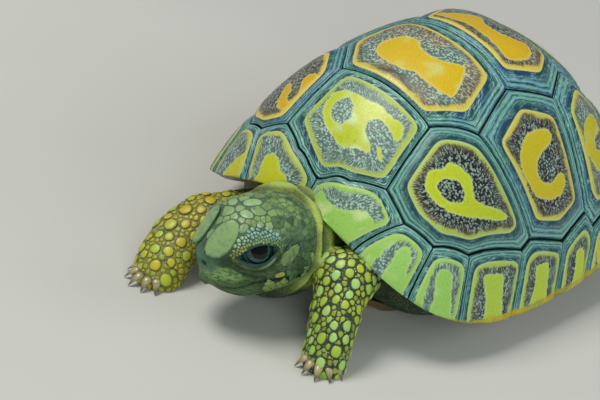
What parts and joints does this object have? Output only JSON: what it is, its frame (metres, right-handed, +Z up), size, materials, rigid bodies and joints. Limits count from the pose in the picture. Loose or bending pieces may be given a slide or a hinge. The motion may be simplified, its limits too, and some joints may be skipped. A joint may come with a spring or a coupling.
{
  "type": "juvenile leopard tortoise model",
  "caption": "Life-size still model of a young leopard tortoise resting on its plastron with head and forelegs out, its domed shell marked in yellow and dark brown.",
  "frame": {"origin": "on the sole of the plastron, on the animal's plane of symmetry, under the crown of the shell", "axes": "-Y is the way the animal faces, +X is its left side, +Z is up"},
  "size_m": [0.0562, 0.088, 0.0386],
  "materials": {
    "carapace": "horn, satin, ringed and granular, yellow with dark brown and blue-grey",
    "plastron": "horn, satin, yellow with brown blotches",
    "skin": "soft folded reptile skin with small granular scales",
    "head": "smooth polygonal scales, olive green with blue-grey seams",
    "leg": "raised round yellow scales on dark skin",
    "eye": "wet, near black"
  },
  "bodies": {
    "root": {"vertebral_1": "carapace", "vertebral_2": "carapace", "vertebral_3": "carapace", "vertebral_4": "carapace", "vertebral_5": "carapace", "costal_left_1": "carapace", "costal_right_1": "carapace", "costal_left_2": "carapace", "costal_right_2": "carapace", "costal_left_3": "carapace", "costal_right_3": "carapace", "costal_left_4": "carapace", "costal_right_4": "carapace", "marginal_left_1": "carapace", "marginal_right_1": "carapace", "marginal_left_2": "carapace", "marginal_right_2": "carapace", "marginal_left_3": "carapace", "marginal_right_3": "carapace", "marginal_left_4": "carapace", "marginal_right_4": "carapace", "marginal_left_5": "carapace", "marginal_right_5": "carapace", "marginal_left_6": "carapace", "marginal_right_6": "carapace", "marginal_left_7": "carapace", "marginal_right_7": "carapace", "marginal_left_8": "carapace", "marginal_right_8": "carapace", "marginal_left_9": "carapace", "marginal_right_9": "carapace", "marginal_left_10": "carapace", "marginal_right_10": "carapace", "marginal_left_11": "carapace", "marginal_right_11": "carapace", "supracaudal": "carapace", "plastron_gular": "plastron", "plastron_humeral": "plastron", "plastron_pectoral": "plastron", "plastron_abdominal": "plastron", "plastron_femoral": "plastron", "plastron_anal": "plastron", "trunk": "skin", "neck": "skin", "tail": "skin", "head": "head", "lower_jaw": "head", "eye_left": "eye", "eye_right": "eye", "foreleg_left_upper": "leg", "foreleg_left_foot": "leg", "foreleg_right_upper": "leg", "foreleg_right_foot": "leg", "hindleg_left_upper": "leg", "hindleg_left_foot": "leg", "hindleg_right_upper": "leg", "hindleg_right_foot": "leg"}
  },
  "joints": []
}
